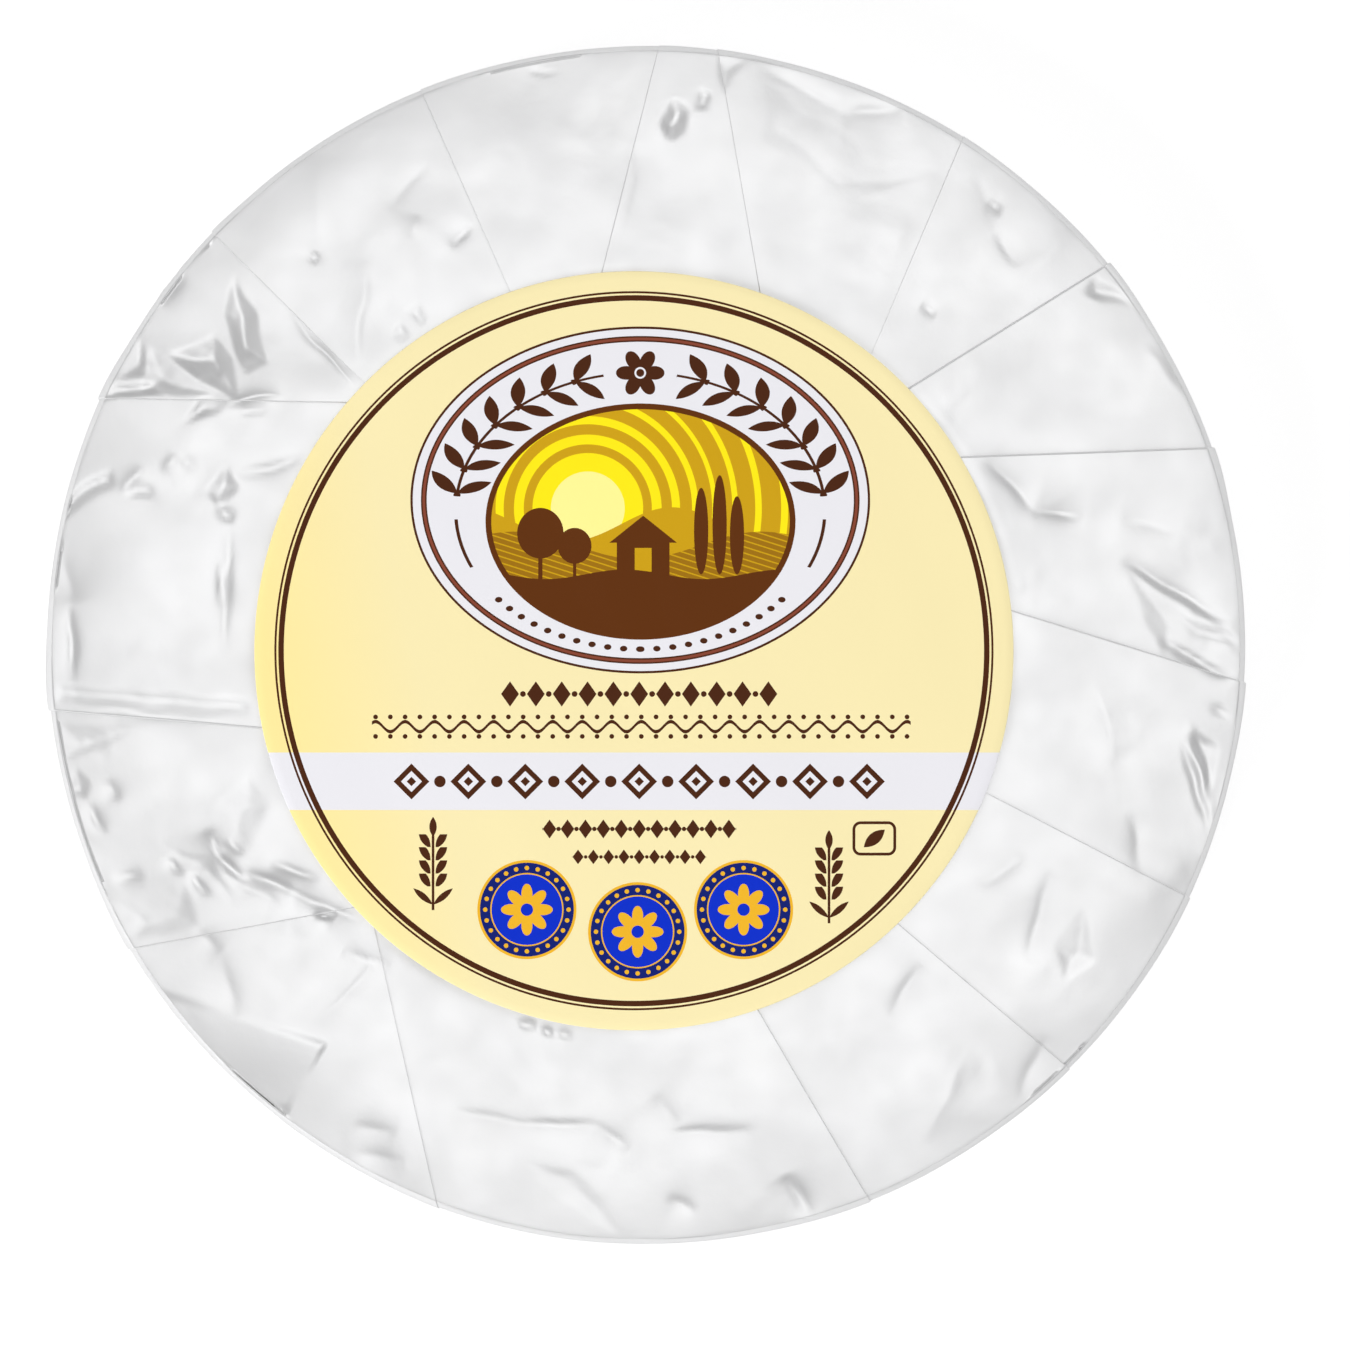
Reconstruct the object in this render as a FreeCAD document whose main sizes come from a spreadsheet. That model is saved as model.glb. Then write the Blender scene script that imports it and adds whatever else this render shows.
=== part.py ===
import FreeCAD, Part
import math
import os
import Sketcher

# A large soft cheese wheel wrapped in foil paper. The paper comes up the side and is laid
# in pleats on the top, and a round label is stuck over the place where the pleats meet.
# The wheel lies flat on z = 0 with its axis on z. Lengths are millimetres, angles degrees.

SIZES = {
    "wheel_diameter": 230,
    "wheel_height": 26,
    "foot_round": 5,
    "shoulder_round": 2.5,
    "side_lean": 3,
    # The doubled paper comes out of the side wall above its foot and stands proud on top.
    "pleat_thickness": 0.5,
    "pleat_lean": 1.3,
    "pleat_foot_height": 5,
    "pleat_foot_inset": 0.15,
    # Under the label the pleats run together in a round gather.
    "pleat_run_under_label": 14,
    "gather_inset": 10,
    # A loose corner of the sheet folded over on top: its tip, its turn and its two sides.
    "corner_across": -60.8,
    "corner_along": -75.4,
    "corner_turn": 174,
    "corner_length": 24,
    "corner_width": 13,
    # The label lies a little off the wheel's axis.
    "label_diameter": 144,
    "label_thickness": 0.2,
    "label_across": -2.3,
    "label_along": -1.1,
    # How far a cutting block passes beyond what it cuts.
    "overcut": 5,
}

# A pleat is the strip of doubled paper beside one folded edge. The edge runs straight from
# its angle on the rim to its angle on the label's edge, and the strip widens inwards.
PLEAT_VALUES = ("rim_angle", "label_angle", "rim_width", "label_width")
PLEATS = {
    "pleat_right": (-3.8, 6, 5, 18),
    "pleat_right_upper": (18.9, 30.5, 6, 18),
    "pleat_top_right": (39.3, 43.5, 5, 12),
    "pleat_top_slant": (58.1, 51.3, 5, 7),
    "pleat_top": (83.3, 70.5, 6, 17),
    "pleat_top_narrow": (88.6, 94.9, 5, 18),
    "pleat_top_left": (112.1, 109, 6, 12),
    "pleat_left_upper": (136.4, 135.2, 6, 18),
    "pleat_left_level": (155.9, 139, 7, 4),
    "pleat_left_lower": (186, 191.6, 6, 20),
    "pleat_bottom_left": (210.2, 222.5, 6, 20),
    "pleat_bottom": (250, 226.7, 7, 4),
    "pleat_bottom_right": (292, 289, 6, 18),
    "pleat_right_lower": (315, 314, 6, 18),
    "pleat_right_low": (335, 338, 6, 17),
}

doc = FreeCAD.newDocument("WrappedCheeseWheel")


def make_sheet():
    """Write every size into the spreadsheet, its name beside it."""
    values = dict(SIZES)
    for pleat, numbers in PLEATS.items():
        for value, number in zip(PLEAT_VALUES, numbers):
            values[f"{pleat}_{value}"] = number
    sheet = doc.addObject("Spreadsheet::Sheet", "Sizes")
    for row, (alias, number) in enumerate(values.items(), start=1):
        sheet.set(f"A{row}", alias)
        sheet.set(f"B{row}", str(number))
        sheet.setAlias(f"B{row}", alias)
    doc.recompute()


def size(alias):
    return f"<<Sizes>>.{alias}"


WHEEL_RADIUS = f"{size('wheel_diameter')} / 2"
LABEL_RADIUS = f"{size('label_diameter')} / 2"
PLEAT_TOP = f"{size('wheel_height')} + {size('pleat_thickness')}"


def half_outline(sketch, foot_points, shoulder_centre, shoulder_radius, top):
    """Draw the half section from its foot up: side, shoulder arc, top level and axis."""
    across, up = shoulder_centre
    rim = FreeCAD.Vector(across + shoulder_radius, up, 0)
    arc = Part.Circle(FreeCAD.Vector(across, up, 0), FreeCAD.Vector(0, 0, 1), shoulder_radius)
    side = sketch.addGeometry(Part.LineSegment(foot_points[1], rim))
    shoulder = sketch.addGeometry(Part.ArcOfCircle(arc, 0, math.pi / 2))
    level = sketch.addGeometry(
        Part.LineSegment(FreeCAD.Vector(across, top, 0), FreeCAD.Vector(0, top, 0)))
    axis = sketch.addGeometry(Part.LineSegment(FreeCAD.Vector(0, top, 0), foot_points[0]))
    for constraint in (
        ("Tangent", side, 2, shoulder, 1),
        ("Tangent", shoulder, 2, level, 1),
        ("Coincident", level, 2, axis, 1),
        ("Horizontal", level),
        ("PointOnObject", axis, 1, -2),
    ):
        sketch.addConstraint(Sketcher.Constraint(*constraint))
    return side, shoulder, axis


def drive(sketch, name, expression, *constraint):
    """Add a dimension to the sketch and bind it to the sheet."""
    index = sketch.addConstraint(Sketcher.Constraint(*constraint))
    sketch.renameConstraint(index, name)
    sketch.setExpression(f"Constraints.{name}", expression)


def draw_wheel(sketch):
    """Half section of the wheel: under side, rounded foot, leaning side and top."""
    radius = SIZES["wheel_diameter"] / 2
    foot = SIZES["foot_round"]
    round_top = SIZES["shoulder_round"]
    height = SIZES["wheel_height"]
    centre = FreeCAD.Vector(0, 0, 0)
    under = sketch.addGeometry(Part.LineSegment(centre, FreeCAD.Vector(radius - foot, 0, 0)))
    circle = Part.Circle(FreeCAD.Vector(radius - foot, foot, 0), FreeCAD.Vector(0, 0, 1), foot)
    foot_arc = sketch.addGeometry(Part.ArcOfCircle(circle, -math.pi / 2, 0))
    side, shoulder, axis = half_outline(
        sketch, (centre, FreeCAD.Vector(radius, foot, 0)),
        (radius - round_top, height - round_top), round_top, height)
    for constraint in (
        ("Coincident", under, 1, -1, 1),
        ("Coincident", axis, 2, under, 1),
        ("Horizontal", under),
        ("Tangent", under, 2, foot_arc, 1),
        ("Tangent", foot_arc, 2, side, 1),
    ):
        sketch.addConstraint(Sketcher.Constraint(*constraint))
    drive(sketch, "foot_radius", size("foot_round"), "Radius", foot_arc, foot)
    drive(sketch, "foot_centre", f"{WHEEL_RADIUS} - {size('foot_round')}",
          "DistanceX", -1, 1, foot_arc, 3, radius - foot)
    drive(sketch, "shoulder_radius", size("shoulder_round"), "Radius", shoulder, round_top)
    drive(sketch, "lean", f"90 deg + {size('side_lean')} * 1 deg", "Angle", side, math.pi / 2)
    drive(sketch, "height", size("wheel_height"), "DistanceY", -1, 1, axis, 1, height)


def draw_pleat_reach(sketch):
    """Half section that the pleats fill: it leaves the side above the foot."""
    radius = SIZES["wheel_diameter"] / 2 - SIZES["pleat_foot_inset"]
    low = SIZES["pleat_foot_height"]
    round_top = SIZES["shoulder_round"]
    height = SIZES["wheel_height"] + SIZES["pleat_thickness"]
    centre = FreeCAD.Vector(0, low, 0)
    corner = FreeCAD.Vector(radius, low, 0)
    under = sketch.addGeometry(Part.LineSegment(centre, corner))
    side, shoulder, axis = half_outline(
        sketch, (centre, corner), (radius - round_top, height - round_top), round_top, height)
    for constraint in (
        ("Coincident", axis, 2, under, 1),
        ("PointOnObject", axis, 2, -2),
        ("Coincident", under, 2, side, 1),
        ("Horizontal", under),
    ):
        sketch.addConstraint(Sketcher.Constraint(*constraint))
    drive(sketch, "foot_height", size("pleat_foot_height"), "DistanceY", -1, 1, under, 1, low)
    drive(sketch, "foot_reach", f"{WHEEL_RADIUS} - {size('pleat_foot_inset')}",
          "DistanceX", -1, 1, under, 2, radius)
    drive(sketch, "shoulder_radius", size("shoulder_round"), "Radius", shoulder, round_top)
    drive(sketch, "lean", f"90 deg + {size('pleat_lean')} * 1 deg", "Angle", side, math.pi / 2)
    drive(sketch, "height", PLEAT_TOP, "DistanceY", -1, 1, axis, 1, height)


def turned_body(name, draw):
    """A body made by turning the drawn half section about z."""
    body = doc.addObject("PartDesign::Body", name)
    origin = {feature.Role: feature for feature in body.Origin.OriginFeatures}
    sketch = body.newObject("Sketcher::SketchObject", name + "_section")
    sketch.AttachmentSupport = [(origin["XZ_Plane"], "")]
    sketch.MapMode = "FlatFace"
    draw(sketch)
    doc.recompute()
    turned = body.newObject("PartDesign::Revolution", name + "_turned")
    turned.Profile = sketch
    turned.ReferenceAxis = (origin["Z_Axis"], [""])
    turned.Angle = 360
    doc.recompute()
    return body


def pleat_strip(name):
    """Upright block over one pleat, from under the label out past the rim.

    Its local y runs outwards along the folded edge, and its width lies clockwise of it.
    """
    rim_angle, label_angle, rim_width, label_width = (
        size(f"{name}_{value}") for value in PLEAT_VALUES)
    rim_x = f"{WHEEL_RADIUS} * cos({rim_angle})"
    rim_y = f"{WHEEL_RADIUS} * sin({rim_angle})"
    label_x = f"({size('label_across')} + {LABEL_RADIUS} * cos({label_angle}))"
    label_y = f"({size('label_along')} + {LABEL_RADIUS} * sin({label_angle}))"
    heading = f"atan2({rim_y} - {label_y}; {rim_x} - {label_x})"
    seen_length = f"hypot({rim_x} - {label_x}; {rim_y} - {label_y})"
    run_under = size("pleat_run_under_label")

    strip = doc.addObject("Part::Wedge", name)
    strip.Placement = FreeCAD.Placement(
        FreeCAD.Vector(), FreeCAD.Rotation(FreeCAD.Vector(0, 0, 1), 1))
    for target, expression in {
        "Xmin": "0",
        "X2min": "0",
        "Xmax": label_width,
        "X2max": rim_width,
        "Ymin": "0",
        "Ymax": f"{run_under} + {seen_length} + {size('overcut')}",
        "Zmin": "0",
        "Z2min": "0",
        "Zmax": f"{PLEAT_TOP} + {size('overcut')}",
        "Z2max": f"{PLEAT_TOP} + {size('overcut')}",
        "Placement.Base.x": f"{label_x} - {run_under} * cos({heading})",
        "Placement.Base.y": f"{label_y} - {run_under} * sin({heading})",
        "Placement.Rotation.Angle": f"{heading} - 90 deg",
    }.items():
        strip.setExpression(target, expression)
    return strip


def gather():
    """Round bunch of paper under the label, level with the pleats."""
    disc = doc.addObject("Part::Cylinder", "gather")
    disc.setExpression("Radius", f"{LABEL_RADIUS} - {size('gather_inset')}")
    disc.setExpression("Height", f"{PLEAT_TOP} + {size('overcut')}")
    disc.setExpression("Placement.Base.x", size("label_across"))
    disc.setExpression("Placement.Base.y", size("label_along"))
    return disc


def folded_corner():
    """Upright block over the square corner of the sheet that lies on top."""
    block = doc.addObject("Part::Box", "folded_corner")
    block.Placement = FreeCAD.Placement(
        FreeCAD.Vector(), FreeCAD.Rotation(FreeCAD.Vector(0, 0, 1), 1))
    block.setExpression("Length", size("corner_length"))
    block.setExpression("Width", size("corner_width"))
    block.setExpression("Height", f"{PLEAT_TOP} + {size('overcut')}")
    block.setExpression("Placement.Base.x", size("corner_across"))
    block.setExpression("Placement.Base.y", size("corner_along"))
    block.setExpression("Placement.Rotation.Angle", f"{size('corner_turn')} * 1 deg")
    return block


def wrapped_wheel():
    """The wheel with its pleats, one closed pack."""
    core = turned_body("wheel", draw_wheel)
    reach = turned_body("pleat_reach", draw_pleat_reach)
    plans = doc.addObject("Part::MultiFuse", "pleat_plans")
    plans.Shapes = [pleat_strip(name) for name in PLEATS] + [gather(), folded_corner()]
    layers = doc.addObject("Part::MultiCommon", "pleat_layers")
    layers.Shapes = [reach, plans]
    wheel = doc.addObject("Part::MultiFuse", "wrapped_wheel")
    wheel.Shapes = [core, layers]
    wheel.Refine = True
    wheel.Label = "wrapped_wheel"
    return wheel


def label():
    """Round paper label lying on the pleats and their gather."""
    disc = doc.addObject("Part::Cylinder", "label")
    disc.Label = "label"
    disc.setExpression("Radius", LABEL_RADIUS)
    disc.setExpression("Height", size("label_thickness"))
    disc.setExpression("Placement.Base.x", size("label_across"))
    disc.setExpression("Placement.Base.y", size("label_along"))
    disc.setExpression("Placement.Base.z", PLEAT_TOP)
    return disc


def write_parts(parts):
    """Check the whole document, then write one file for each part."""
    for feature in doc.Objects:
        if {"Invalid", "Error"} & set(feature.State):
            raise RuntimeError(f"{feature.Name} failed: {feature.State}")
    for part in parts:
        if part.Shape.isNull() or not part.Shape.isValid() or len(part.Shape.Solids) != 1:
            raise RuntimeError(f"{part.Label} is not one valid solid")
    os.makedirs("parts", exist_ok=True)
    for part in parts:
        part.Shape.exportStep(f"parts/{part.Label}.step")
        box = part.Shape.BoundBox
        print(part.Label, round(part.Shape.Volume), "mm3",
              [round(edge, 3) for edge in (box.XMin, box.YMin, box.ZMin,
                                           box.XMax, box.YMax, box.ZMax)])


make_sheet()
parts = [wrapped_wheel(), label()]
doc.recompute()
write_parts(parts)
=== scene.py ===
import math

import bmesh
import bpy
import numpy as np
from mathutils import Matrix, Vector


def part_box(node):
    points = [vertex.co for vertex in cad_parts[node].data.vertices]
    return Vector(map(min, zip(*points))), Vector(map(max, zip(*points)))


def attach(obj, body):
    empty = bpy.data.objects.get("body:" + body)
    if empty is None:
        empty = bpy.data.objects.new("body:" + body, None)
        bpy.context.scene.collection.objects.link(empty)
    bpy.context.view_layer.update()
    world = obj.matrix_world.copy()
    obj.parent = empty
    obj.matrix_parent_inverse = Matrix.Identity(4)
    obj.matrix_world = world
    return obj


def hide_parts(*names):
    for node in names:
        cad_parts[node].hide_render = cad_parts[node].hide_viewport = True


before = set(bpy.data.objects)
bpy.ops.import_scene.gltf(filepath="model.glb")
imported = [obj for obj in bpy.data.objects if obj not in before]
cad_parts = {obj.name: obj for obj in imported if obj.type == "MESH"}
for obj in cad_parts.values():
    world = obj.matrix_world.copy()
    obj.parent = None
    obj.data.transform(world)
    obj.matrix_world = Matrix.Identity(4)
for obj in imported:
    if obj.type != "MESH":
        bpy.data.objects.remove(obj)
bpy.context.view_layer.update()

MM = 0.001

# ---------------------------------------------------------------- sizes
# Everything is worked out in millimetres from the frame's own boxes.

wheel_low, wheel_high = (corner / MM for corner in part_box("wrapped_wheel"))
label_low, label_high = (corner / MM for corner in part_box("label"))

WHEEL_RADIUS = (wheel_high.x - wheel_low.x) / 2
PLEAT_RISE = 0.5
WHEEL_TOP = wheel_high.z - PLEAT_RISE
FOOT_ROUND = 5.0
SIDE_LEAN = math.radians(3)
# The paper turns the shoulder in a close crease on top and a wide round down to the side.
CREASE_ROUND = 0.14
CREASE_LEAN = math.radians(40)
SLOPE_ROUND = 5.5
# The top falls away a little from this distance out to the shoulder.
SAG_START = 96.0
SAG = 0.45
# Each fold keeps its slant this far in under the label, and then runs straight to the axis.
FOLD_UNDER_LABEL = 1.6

LABEL_RADIUS = (label_high.y - label_low.y) / 2
LABEL_CENTRE = ((label_low.x + label_high.x) / 2, (label_low.y + label_high.y) / 2)

# Folded edges of the paper: (angle on the rim, angle on the label's edge, rise of the
# fold, breadth of the doubled paper beside it). Degrees and millimetres.
FOLDS = [
    (-25, -22, 0.25, 9),
    (-3.8, 6, 0.4, 8),
    (18.9, 30.5, 0.5, 6),
    (39.3, 43.5, 0.5, 7),
    (58.1, 51.3, 0.14, 6),
    (83.3, 70.5, 0.16, 5),
    (88.6, 94.9, 0.12, 5),
    (112.1, 109, 0.18, 8),
    (136.4, 135.2, 0.24, 4),
    (155.9, 139, 0.4, 6),
    (186, 191.6, 0.5, 7),
    (210.2, 222.5, 0.35, 9),
    (250, 226.7, 0.22, 8),
    (292, 289, 0.25, 8),
    (315, 314, 0.22, 8),
]

# Creases in the paper: (from, to, height, breadth of its left and right flanks), each end
# an angle round the wheel and a distance from its axis. A negative height is a valley.
CREASES = [
    ((2, 111), (10, 91.5), -0.7, (0.8, 2.5)),
    ((12, 104), (15, 93), -0.25, (2, 3)),
    ((16, 87), (19, 78), -0.5, (1.2, 3)),
    ((18, 79), (29, 73.5), -0.45, (1.4, 3)),
    ((24, 113), (31, 110), 0.25, (3, 2)),
    ((45, 101), (50, 102.5), -0.25, (0.8, 2)),
    ((50, 102.5), (55, 110), -0.2, (3, 1.5)),
    ((50.5, 106), (52.3, 106.3), -0.4, (0.8, 1.2)),
    ((44.5, 113), (43.5, 97), 0.2, (3, 3)),
    ((48.5, 83.2), (51, 82.6), -0.25, (0.7, 0.9)),
    ((64.5, 113), (70, 107), -0.4, (5, 1.6)),
    ((69, 107), (79, 112.5), -0.35, (5, 2)),
    ((59, 104), (68, 94), -0.2, (6, 3)),
    ((66, 94), (77, 103), -0.2, (6, 3)),
    ((91, 97), (94.5, 76), 0.2, (1.2, 2.5)),
    ((114, 100), (121, 97), -0.2, (2, 3)),
    ((113, 86), (116, 84.5), -0.3, (1, 1.6)),
    ((118, 92), (120.5, 89), 0.2, (1.5, 3)),
    ((124, 112), (131, 95), 0.2, (4, 6)),
    ((126, 90), (136, 76), 0.3, (1, 5)),
    ((130.2, 97.5), (131.2, 96.2), -0.35, (1, 1)),
    ((136.9, 92), (138.8, 74), 0.3, (1.5, 1)),
    ((141, 113), (145, 112), -0.3, (1.2, 2)),
    ((145.5, 84), (151, 94), 0.5, (1, 1.5)),
    ((158, 95.5), (160, 97.5), 0.3, (1.5, 1)),
    ((160.5, 101), (163.5, 104.5), 0.35, (1.2, 1.2)),
    ((157.5, 84.5), (151.5, 74), -0.4, (0.9, 1.8)),
    ((162, 86), (163.4, 81.5), -0.5, (0.9, 1)),
    ((163.5, 82), (181, 80), -0.3, (0.8, 1.4)),
    ((169, 82.2), (175, 80.8), -0.35, (0.8, 1)),
    ((171, 112), (176, 109), -0.3, (3, 2)),
    ((176, 109.5), (184, 108.8), -0.45, (0.9, 1.4)),
    ((185.9, 113), (191.2, 78), 0.2, (1.2, 1.2)),
    ((196, 110), (199, 108.7), -0.4, (0.9, 0.9)),
    ((194, 106), (196.5, 104.5), -0.35, (1.2, 1.6)),
    ((204, 111), (204.6, 105), -0.3, (0.9, 1.2)),
    ((204, 98.4), (206.5, 98.4), -0.35, (0.8, 0.9)),
    ((206.5, 96.4), (210, 96), -0.4, (0.8, 0.9)),
    ((202.5, 90), (206.5, 91), 0.5, (1.4, 2.4)),
    ((205.5, 91), (211, 88), 0.6, (1.2, 2.6)),
    ((209.5, 87), (215, 82), 0.6, (1.2, 1.8)),
    ((213, 83.5), (224, 75.5), 0.5, (1.2, 2)),
    ((205, 88), (207.5, 85.5), -0.4, (1, 1)),
    ((210, 83), (216, 76), -0.45, (1.2, 1.4)),
    ((219.3, 80.5), (221.3, 78.4), -0.6, (0.8, 0.8)),
    ((212.5, 101), (216, 99.5), -0.3, (1.5, 4)),
    ((216, 99.5), (222.5, 105.5), -0.3, (2, 4)),
    ((225, 82), (232, 78), -0.35, (1.6, 2.6)),
    ((229.3, 96), (229, 78), 0.2, (0.9, 3)),
    ((238.5, 107), (243, 103.5), -0.3, (1.4, 3)),
    ((240, 111.5), (245, 108), -0.25, (1.6, 3)),
    ((247, 96), (256, 93.6), -0.25, (0.8, 2.2)),
    ((254, 94), (265, 91.6), -0.35, (0.8, 2.6)),
    ((264, 91.8), (268.5, 96), -0.35, (1.4, 2.2)),
    ((251, 76), (254, 75.4), -0.35, (0.7, 0.7)),
    ((254.5, 75.2), (256.5, 76), -0.4, (0.7, 0.7)),
    ((257, 75.2), (259.5, 75.6), -0.35, (0.7, 0.7)),
    ((271.5, 92), (283, 95), -0.35, (0.9, 3)),
    ((271, 85.5), (274, 91), -0.25, (2, 3)),
    ((272, 105.5), (275.5, 108), -0.3, (1, 1.6)),
    ((284.6, 104), (286.2, 113.5), -0.55, (1.6, 1.6)),
    ((299, 108), (309, 98), 0.3, (2, 4)),
    ((303, 84), (311, 80), -0.3, (1, 2.4)),
    ((309, 112), (316, 106), -0.25, (1.4, 3)),
    ((320, 94), (331, 88), -0.3, (1.2, 3)),
    ((324, 78), (331, 82), 0.25, (2, 1.2)),
    ((335, 104), (341, 97), -0.3, (1.2, 2.6)),
    ((342, 113), (352, 104), 0.35, (1.2, 0.9)),
    ((356.6, 112), (360.5, 97), -0.55, (0.8, 1.2)),
    ((346, 92), (355, 86), 0.25, (2, 3)),
]

# Crumpled patches: (corners, lean), each corner an angle and a distance. The paper leans in
# from each side by about that many degrees.
PANES = [
    (((-1.5, 112), (-2, 98), (8.5, 92.5), (3.5, 106)), 5),
    (((35, 113), (39.4, 110.5), (38.8, 107), (36.5, 109)), 14),
    (((58, 106), (65, 93), (77, 99), (78, 109), (66, 113)), 1.5),
    (((79.6, 114), (83.2, 113.5), (82.4, 105.5)), 7),
    (((83.4, 106), (84.6, 106.2), (84.8, 102), (83.6, 102.2)), 13),
    (((85.2, 102.4), (87.2, 103.6), (88.6, 100), (87.2, 95.4), (85.4, 98.2)), 15),
    (((98.6, 110.8), (101.6, 112.4), (101.2, 110.6), (99.4, 110.2)), 14),
    (((123.2, 78), (126, 78), (125.4, 73.5), (123.6, 74.5)), 8),
    (((127.2, 77.4), (129.6, 76.2), (129.4, 73.6), (127.4, 73.6)), 8),
    (((138.2, 105.6), (141.6, 101.8), (146.2, 92), (143.4, 89.8), (139.8, 97)), 13),
    (((144.4, 101), (148.6, 106), (149.6, 98), (149, 90.6), (145, 96)), 13),
    (((149.2, 110.5), (153.2, 107), (152, 101), (149.7, 92.5), (149.2, 104)), 9),
    (((148.6, 112.8), (153.4, 112.4), (151.6, 107.4)), 12),
    (((152.4, 103), (155.8, 113.6), (154, 113), (152, 106.5)), 14),
    (((149, 90.8), (150.6, 96.2), (154.6, 98.6), (151.6, 92)), 12),
    (((147.6, 84.4), (150, 90.4), (150.6, 88), (148.6, 84)), 10),
    (((166, 114.4), (167.8, 112.8), (163.4, 105.4), (161.6, 107)), 12),
    (((162, 104), (164.2, 103), (163.4, 97), (161.8, 98.4)), 9),
    (((158, 95), (159.6, 93.6), (159.2, 90.6), (157.8, 92)), 8),
    (((156.8, 86.4), (160.4, 88.8), (162.2, 85.6), (159.2, 82.2)), 15),
    (((183.8, 112), (185.8, 113), (190.8, 76), (187.6, 76)), 6),
    (((187.4, 113.4), (191.4, 113.4), (190.8, 104), (189.4, 95)), 6),
    (((192.2, 110), (194.4, 113.6), (195.6, 111), (194, 108.6)), 15),
    (((205.4, 113.4), (210, 113.4), (212, 101), (207.4, 98)), 5),
    (((202.4, 99.4), (208, 95.5), (213.5, 91.5), (205.5, 92.4)), 6),
    (((209, 92.4), (216, 85.4), (213, 84.6), (207, 90.4)), 5),
    (((198, 79), (201, 87.4), (205, 90.2), (207, 84), (203, 77.4)), 5),
    (((231, 113.4), (232.8, 113), (232, 111.2)), 15),
    (((257, 101), (261, 106), (268, 113), (266, 105.4), (262, 100.6)), 4),
    (((321, 102), (325, 104), (329, 97), (324, 96)), 7),
    (((341.4, 112.4), (344.6, 111.4), (350.6, 103.4), (347, 104.6)), 14),
    (((345, 111), (350, 110.4), (351.4, 106), (350.6, 103.6)), 12),
    (((352.8, 112.4), (354, 110.4), (354, 107), (353, 108.4)), 14),
    (((359.6, 113), (362, 110), (363, 101), (360.6, 104)), 8),
]

# How unlike each other the slopes of a patch's facets are, as a share of their lean.
FACET_SPREAD = 0.35

# A loose square corner of the sheet lies on top: its tip and its two edges' far ends.
LOOSE_CORNER = ((231.2, 96.8), (232.2, 110), (218, 109.5))
# Its height at the tip, and how far that falls for each millimetre towards the rim.
CORNER_HEIGHT = 0.3
CORNER_FALL = 0.032
CORNER_REACH = 18

# ---------------------------------------------------------------- soft shapes


def smooth(value, low, high):
    """0 below low, 1 above high, eased between."""
    share = np.clip((value - low) / (high - low), 0, 1)
    return share * share * (3 - 2 * share)


def waves(x, y, length, seed, count=10):
    """Soft swell of about -1 to 1 whose crests are about length apart."""
    rng = np.random.default_rng(seed)
    total = np.zeros_like(x)
    for _ in range(count):
        heading = rng.uniform(0, 2 * math.pi)
        pitch = 2 * math.pi / (length * rng.uniform(0.7, 1.6))
        phase = rng.uniform(0, 2 * math.pi)
        total += np.sin((x * math.cos(heading) + y * math.sin(heading)) * pitch + phase)
    return total / math.sqrt(count)


def facets(x, y, breadth, seed):
    """Crumpled field of flat facets that meet in sharp creases, about -1 to 1."""
    rng = np.random.default_rng(seed)
    bent_x = x + waves(x, y, breadth * 5, seed + 1) * breadth * 0.5
    bent_y = y + waves(x, y, breadth * 5, seed + 2) * breadth * 0.5
    total = np.zeros_like(x)
    for share in (1, 0.7, 0.45):
        for _ in range(3):
            heading = rng.uniform(0, math.pi)
            along = bent_x * math.cos(heading) + bent_y * math.sin(heading)
            turn = along / (2 * breadth * share) + rng.uniform(0, 1)
            zigzag = np.abs(turn - np.floor(turn) - 0.5) * 4 - 1
            total += share * zigzag * (0.6 + 0.4 * waves(x, y, breadth * 4, seed + 3))
    return total / 3


def spot(angle, distance):
    """A place on the wheel's top, from its angle and its distance from the axis."""
    turn = math.radians(angle)
    return np.array([distance * math.cos(turn), distance * math.sin(turn)])


def crease(x, y, first, last, height, flanks):
    """A straight ridge, or a valley if height is negative, with a sharp top."""
    first, last = spot(*first), spot(*last)
    length = np.hypot(*(last - first))
    way = (last - first) / length
    off_x, off_y = x - first[0], y - first[1]
    along = (off_x * way[0] + off_y * way[1]) / length * 2 - 1
    across = off_y * way[0] - off_x * way[1]
    flank = np.where(across > 0, flanks[0], flanks[1])
    window = np.clip(1 - along ** 2, 0, 1)
    return height * np.exp(-np.abs(across) / flank) * window


def pane(x, y, corners, lean):
    """A patch of facets that lean in from its edges by about lean degrees and meet inside.

    Returns its height, and how far each point is inside it.
    """
    places = np.array([spot(*corner) for corner in corners])
    middle = places.mean(axis=0)
    reaches = []
    sinks = []
    for index, (place, following) in enumerate(zip(places, np.roll(places, -1, axis=0))):
        way = (following - place) / np.hypot(*(following - place))
        inward = np.array([-way[1], way[0]])
        inward *= np.sign(inward @ (middle - place))
        reaches.append((x - place[0]) * inward[0] + (y - place[1]) * inward[1])
        unlike = 1 + FACET_SPREAD * math.sin(2.2 * index + corners[0][0])
        slope = math.tan(math.radians(lean)) * unlike
        sinks.append(reaches[-1] * slope)
    return -np.maximum(np.minimum.reduce(sinks), 0), np.minimum.reduce(reaches)


def loose_corner(x, y):
    """Height of the folded-over corner of the sheet, which leans down to the rim."""
    tip, right, top = (spot(*place) for place in LOOSE_CORNER)
    edges = []
    for end, side in ((right, -1), (top, 1)):
        way = (end - tip) / np.hypot(*(end - tip))
        edges.append(side * ((y - tip[1]) * way[0] - (x - tip[0]) * way[1]))
    right_edge = smooth(edges[0], -0.3, 0.3)
    top_edge = smooth(edges[1], -0.5, 1.2)
    beyond = np.clip(np.hypot(x, y) - np.hypot(*tip), 0, CORNER_REACH)
    return right_edge * top_edge * (CORNER_HEIGHT - CORNER_FALL * beyond)


# ---------------------------------------------------------------- the wrapping

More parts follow.
